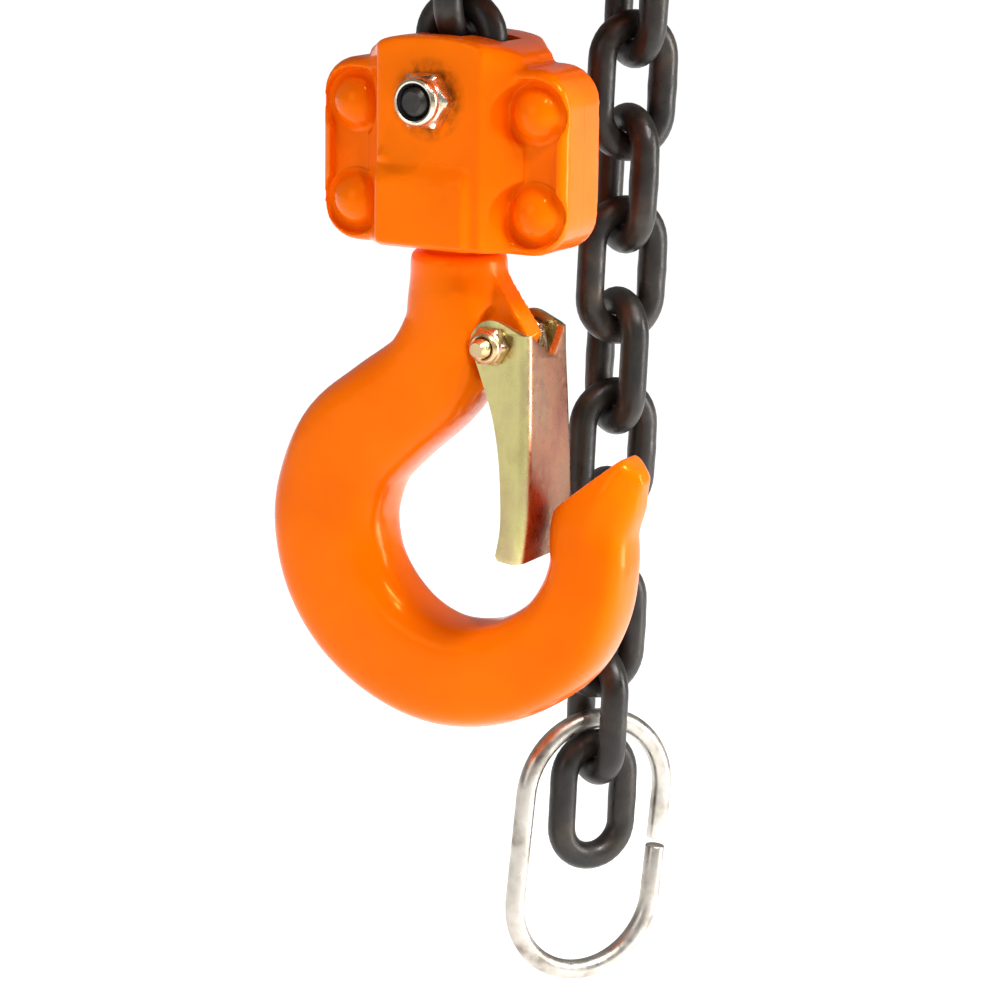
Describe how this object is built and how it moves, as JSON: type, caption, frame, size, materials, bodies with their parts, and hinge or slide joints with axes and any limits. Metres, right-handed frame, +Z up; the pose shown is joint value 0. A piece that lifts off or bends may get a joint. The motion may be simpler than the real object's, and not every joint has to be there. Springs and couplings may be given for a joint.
{
  "type": "lever chain hoist",
  "caption": "Compact lever chain hoist with a swivelling top hook, geared body, load chain, hook block with a latched swivel hook, and a slack chain that ends in a ring.",
  "frame": {"origin": "inner saddle of the top hook, on the load line, where the hoist hangs", "axes": "+Z up along the load line, +X from the load chain to the slack chain, +Y along the load sheave's axle towards the gear cover"},
  "size_m": [0.2549, 0.0986, 0.4392],
  "materials": {
    "orange_enamel": "glossy orange enamel over cast and pressed steel",
    "black_chain": "black-brown oxide, semi-gloss",
    "yellow_zinc": "yellow-chromate zinc plate, satin",
    "plated_nut": "pale zinc plate with a dark nylon ring",
    "bright_steel": "satin bright steel",
    "dark_steel": "blackened machined steel",
    "black_grip": "black moulded grip, matt"
  },
  "bodies": {
    "hanging_hook": {"top_hook": "orange_enamel", "top_hook_nut": "dark_steel", "top_latch_pin": "yellow_zinc"},
    "upper_latch": {"top_latch": "yellow_zinc"},
    "frame": {"top_yoke": "dark_steel", "yoke_bolt_left": "bright_steel", "yoke_bolt_right": "bright_steel", "stay_bolt": "bright_steel", "side_plate_gear": "orange_enamel", "side_plate_brake": "orange_enamel", "chain_guide": "dark_steel", "gear_cover": "orange_enamel", "brake_cover": "orange_enamel"},
    "sheave": {"load_sheave": "dark_steel", "load_gear": "dark_steel", "sheave_link_1": "black_chain", "sheave_link_2": "black_chain", "sheave_link_3": "black_chain", "sheave_link_4": "black_chain", "sheave_link_5": "black_chain"},
    "idler_1": {"intermediate_gear_1": "dark_steel"},
    "idler_2": {"intermediate_gear_2": "dark_steel"},
    "drive": {"pinion_shaft": "bright_steel", "brake_hub": "dark_steel", "hand_wheel": "orange_enamel"},
    "ratchet": {"ratchet_disc": "bright_steel"},
    "pawl": {"ratchet_pawl": "bright_steel"},
    "lever": {"lever_arm": "orange_enamel", "lever_grip": "black_grip"},
    "selector": {"selector_lever": "dark_steel"},
    "load_link_1": {"load_link_1": "black_chain"},
    "load_link_2": {"load_link_2": "black_chain"},
    "load_link_3": {"load_link_3": "black_chain"},
    "load_link_4": {"load_link_4": "black_chain"},
    "block": {"block_front_half": "orange_enamel", "block_rear_half": "orange_enamel", "block_rivet_1": "orange_enamel", "block_rivet_2": "orange_enamel", "block_rivet_3": "orange_enamel", "block_rivet_4": "orange_enamel", "chain_pin_bolt": "dark_steel", "chain_pin_nut": "plated_nut"},
    "lower_hook": {"bottom_hook": "orange_enamel", "bottom_latch_bolt": "yellow_zinc", "bottom_latch_nut": "plated_nut"},
    "lower_latch": {"bottom_latch": "yellow_zinc", "bottom_latch_spring": "bright_steel"},
    "slack_link_01": {"slack_link_01": "black_chain"},
    "slack_link_02": {"slack_link_02": "black_chain"},
    "slack_link_03": {"slack_link_03": "black_chain"},
    "slack_link_04": {"slack_link_04": "black_chain"},
    "slack_link_05": {"slack_link_05": "black_chain"},
    "slack_link_06": {"slack_link_06": "black_chain"},
    "slack_link_07": {"slack_link_07": "black_chain"},
    "slack_link_08": {"slack_link_08": "black_chain"},
    "slack_link_09": {"slack_link_09": "black_chain"},
    "slack_link_10": {"slack_link_10": "black_chain"},
    "slack_link_11": {"slack_link_11": "black_chain"},
    "slack_link_12": {"slack_link_12": "black_chain"},
    "end_ring": {"chain_end_ring": "bright_steel"}
  },
  "joints": [
    {"name": "top_swivel", "type": "hinge", "parent": "hanging_hook", "child": "frame", "pos_m": [0, 0, -0.09], "axis": [0, 0, 1], "continuous": true},
    {"name": "top_latch_hinge", "type": "hinge", "parent": "hanging_hook", "child": "upper_latch", "pos_m": [-0.0126, 0, -0.0593], "axis": [0, 1, 0], "range_deg": [0, 25], "stiffness_Nm_per_rad": 0.04, "springref_deg": -34.38},
    {"name": "sheave_turn", "type": "hinge", "parent": "frame", "child": "sheave", "pos_m": [0.023, 0, -0.13822], "axis": [0, 1, 0], "range_deg": [-5, 5]},
    {"name": "drive_turn", "type": "hinge", "parent": "frame", "child": "drive", "pos_m": [0.023, 0, -0.13822], "axis": [0, 1, 0], "range_deg": [-46, 46]},
    {"name": "idler_1_turn", "type": "hinge", "parent": "frame", "child": "idler_1", "pos_m": [0.003, 0, -0.13822], "axis": [0, 1, 0], "range_deg": [-16, 16]},
    {"name": "idler_2_turn", "type": "hinge", "parent": "frame", "child": "idler_2", "pos_m": [0.043, 0, -0.13822], "axis": [0, 1, 0], "range_deg": [-16, 16]},
    {"name": "ratchet_turn", "type": "hinge", "parent": "frame", "child": "ratchet", "pos_m": [0.023, 0, -0.13822], "axis": [0, 1, 0], "range_deg": [0, 90]},
    {"name": "pawl_hinge", "type": "hinge", "parent": "frame", "child": "pawl", "pos_m": [0.0432, 0, -0.11882], "axis": [0, 1, 0], "range_deg": [0, 12], "stiffness_Nm_per_rad": 0.01, "springref_deg": -22.92},
    {"name": "lever_swing", "type": "hinge", "parent": "frame", "child": "lever", "pos_m": [0.023, 0, -0.13822], "axis": [0, 1, 0], "range_deg": [-15, 110]},
    {"name": "selector_turn", "type": "hinge", "parent": "lever", "child": "selector", "pos_m": [0.05421, 0, -0.11012], "axis": [0, 1, 0], "range_deg": [-20, 20]},
    {"name": "load_chain_run", "type": "slide", "parent": "frame", "child": "load_link_4", "axis": [-0.1475, 0, 0.9891], "range_m": [-0.0024, 0.0024]},
    {"name": "load_link_3_hinge", "type": "hinge", "parent": "load_link_4", "child": "load_link_3", "pos_m": [0, 0, -0.16655], "axis": [0.5225, 0.8526, 0], "range_deg": [-2, 5]},
    {"name": "load_link_2_hinge", "type": "hinge", "parent": "load_link_3", "child": "load_link_2", "pos_m": [0, 0, -0.18535], "axis": [-0.6561, 0.7547, 0], "range_deg": [-1.5, 6]},
    {"name": "load_link_1_hinge", "type": "hinge", "parent": "load_link_2", "child": "load_link_1", "pos_m": [0, 0, -0.20415], "axis": [-0.8261, -0.5635, 0], "range_deg": [-2, 6]},
    {"name": "block_hinge", "type": "hinge", "parent": "load_link_1", "child": "block", "pos_m": [0, 0, -0.216], "axis": [0.8261, 0.5635, 0], "range_deg": [-5, 5]},
    {"name": "lower_swivel", "type": "hinge", "parent": "block", "child": "lower_hook", "pos_m": [0, 0, -0.246], "axis": [0, 0, 1], "range_deg": [-60, 15]},
    {"name": "lower_latch_hinge", "type": "hinge", "parent": "lower_hook", "child": "lower_latch", "pos_m": [0.0071, -0.01041, -0.2637], "axis": [0.8261, 0.5635, 0], "range_deg": [0, 25], "stiffness_Nm_per_rad": 0.04, "springref_deg": -34.38},
    {"name": "slack_chain_run", "type": "slide", "parent": "frame", "child": "slack_link_01", "axis": [-0.168, 0, -0.9858], "range_m": [-0.0026, 0.0026]},
    {"name": "slack_link_02_hinge", "type": "hinge", "parent": "slack_link_01", "child": "slack_link_02", "pos_m": [0.0418, 0, -0.17203], "axis": [0, 1, 0], "range_deg": [-8, 1.5]},
    {"name": "slack_link_03_hinge", "type": "hinge", "parent": "slack_link_02", "child": "slack_link_03", "pos_m": [0.03944, 0, -0.19065], "axis": [-0.9993, 0, 0.0384], "range_deg": [-8, 1.5]},
    {"name": "slack_link_04_hinge", "type": "hinge", "parent": "slack_link_03", "child": "slack_link_04", "pos_m": [0.03871, 0, -0.20943], "axis": [0, 1, 0], "range_deg": [-8, 1.5]},
    {"name": "slack_link_05_hinge", "type": "hinge", "parent": "slack_link_04", "child": "slack_link_05", "pos_m": [0.03799, 0, -0.22822], "axis": [-0.9993, 0, 0.0384], "range_deg": [-8, 1.5]},
    {"name": "slack_link_06_hinge", "type": "hinge", "parent": "slack_link_05", "child": "slack_link_06", "pos_m": [0.03727, 0, -0.247], "axis": [0, 1, 0], "range_deg": [-8, 1.5]},
    {"name": "slack_link_07_hinge", "type": "hinge", "parent": "slack_link_06", "child": "slack_link_07", "pos_m": [0.03655, 0, -0.26579], "axis": [-0.9993, 0, 0.0384], "range_deg": [-8, 1.5]},
    {"name": "slack_link_08_hinge", "type": "hinge", "parent": "slack_link_07", "child": "slack_link_08", "pos_m": [0.03583, 0, -0.28458], "axis": [0, 1, 0], "range_deg": [-8, 1.5]},
    {"name": "slack_link_09_hinge", "type": "hinge", "parent": "slack_link_08", "child": "slack_link_09", "pos_m": [0.03511, 0, -0.30336], "axis": [-0.9993, 0, 0.0384], "range_deg": [-8, 1.5]},
    {"name": "slack_link_10_hinge", "type": "hinge", "parent": "slack_link_09", "child": "slack_link_10", "pos_m": [0.03438, 0, -0.32215], "axis": [0, 1, 0], "range_deg": [-8, 1.5]},
    {"name": "slack_link_11_hinge", "type": "hinge", "parent": "slack_link_10", "child": "slack_link_11", "pos_m": [0.03366, 0, -0.34093], "axis": [-0.9993, 0, 0.0384], "range_deg": [-8, 1.5]},
    {"name": "slack_link_12_hinge", "type": "hinge", "parent": "slack_link_11", "child": "slack_link_12", "pos_m": [0.03294, 0, -0.35972], "axis": [0, 1, 0], "range_deg": [-12, 5]},
    {"name": "end_ring_hinge", "type": "hinge", "parent": "slack_link_11", "child": "end_ring", "pos_m": [0.0347, 0, -0.34832], "axis": [1, 0, 0], "range_deg": [-40, 40]}
  ],
  "couplings": [
    {"joint": "drive_turn", "follows": "sheave_turn", "ratio": 9},
    {"joint": "idler_1_turn", "follows": "sheave_turn", "ratio": -3},
    {"joint": "idler_2_turn", "follows": "sheave_turn", "ratio": -3},
    {"joint": "load_chain_run", "follows": "sheave_turn", "m_per_rad": 0.02325},
    {"joint": "slack_chain_run", "follows": "sheave_turn", "m_per_rad": 0.0242}
  ]
}
